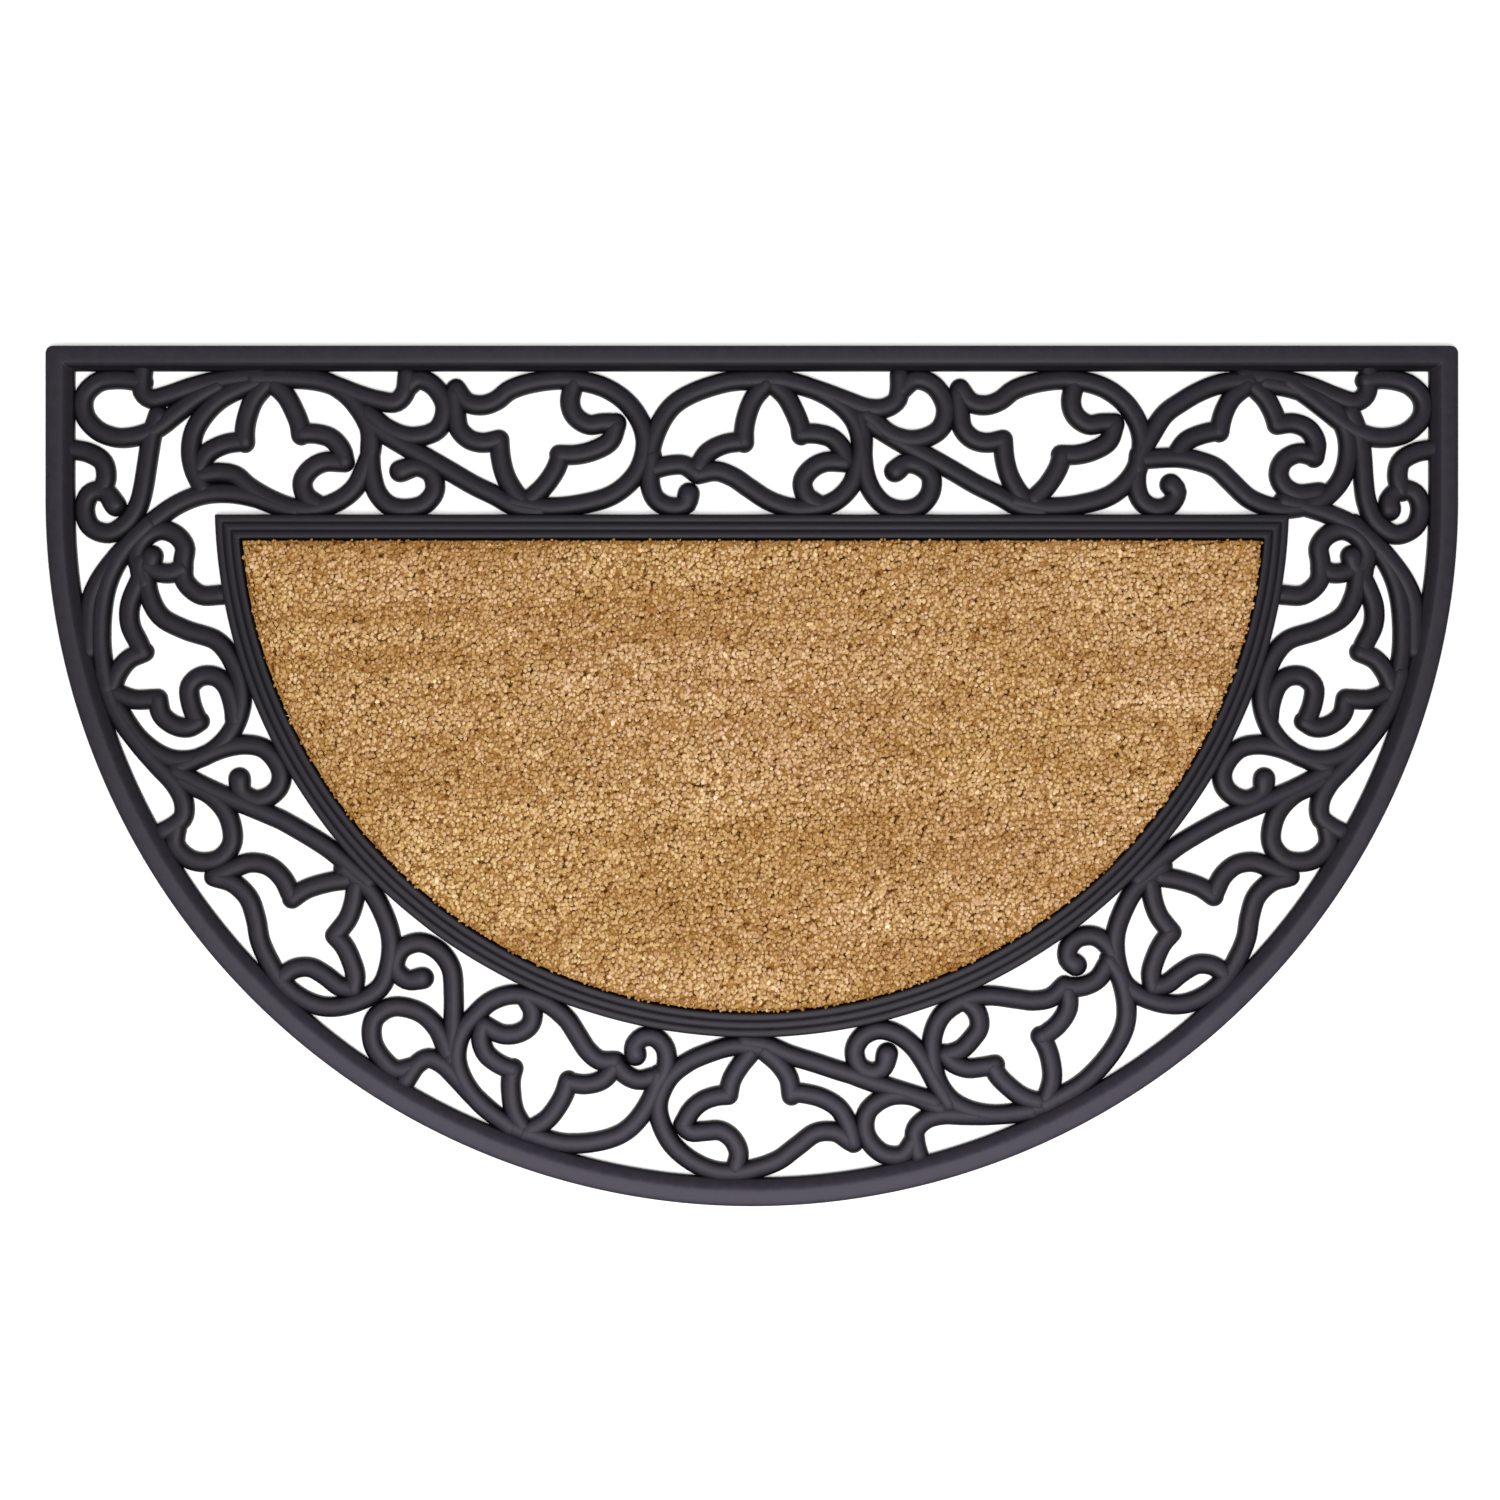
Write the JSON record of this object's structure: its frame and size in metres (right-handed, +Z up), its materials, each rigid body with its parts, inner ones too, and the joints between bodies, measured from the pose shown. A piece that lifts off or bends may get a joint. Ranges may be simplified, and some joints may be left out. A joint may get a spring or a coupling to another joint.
{
  "type": "half-round coir doormat with moulded rubber border",
  "caption": "Half-round doormat: coir pile pad in a one-piece rubber frame with an openwork scroll and tulip border and a ribbed inner trim.",
  "frame": {"origin": "middle of the bounding box, on the underside that lies on the floor", "axes": "+X along the straight edge, +Y from the round front to the straight back edge, +Z up"},
  "size_m": [0.914, 0.557, 0.0129],
  "materials": {
    "rubber": "moulded black rubber, satin, with softly shining crests",
    "coir": "short golden tan coconut fibre pile, matt and tufted"
  },
  "bodies": {
    "root": {"rubber_frame": "rubber", "coir_pad": "coir"}
  },
  "joints": []
}
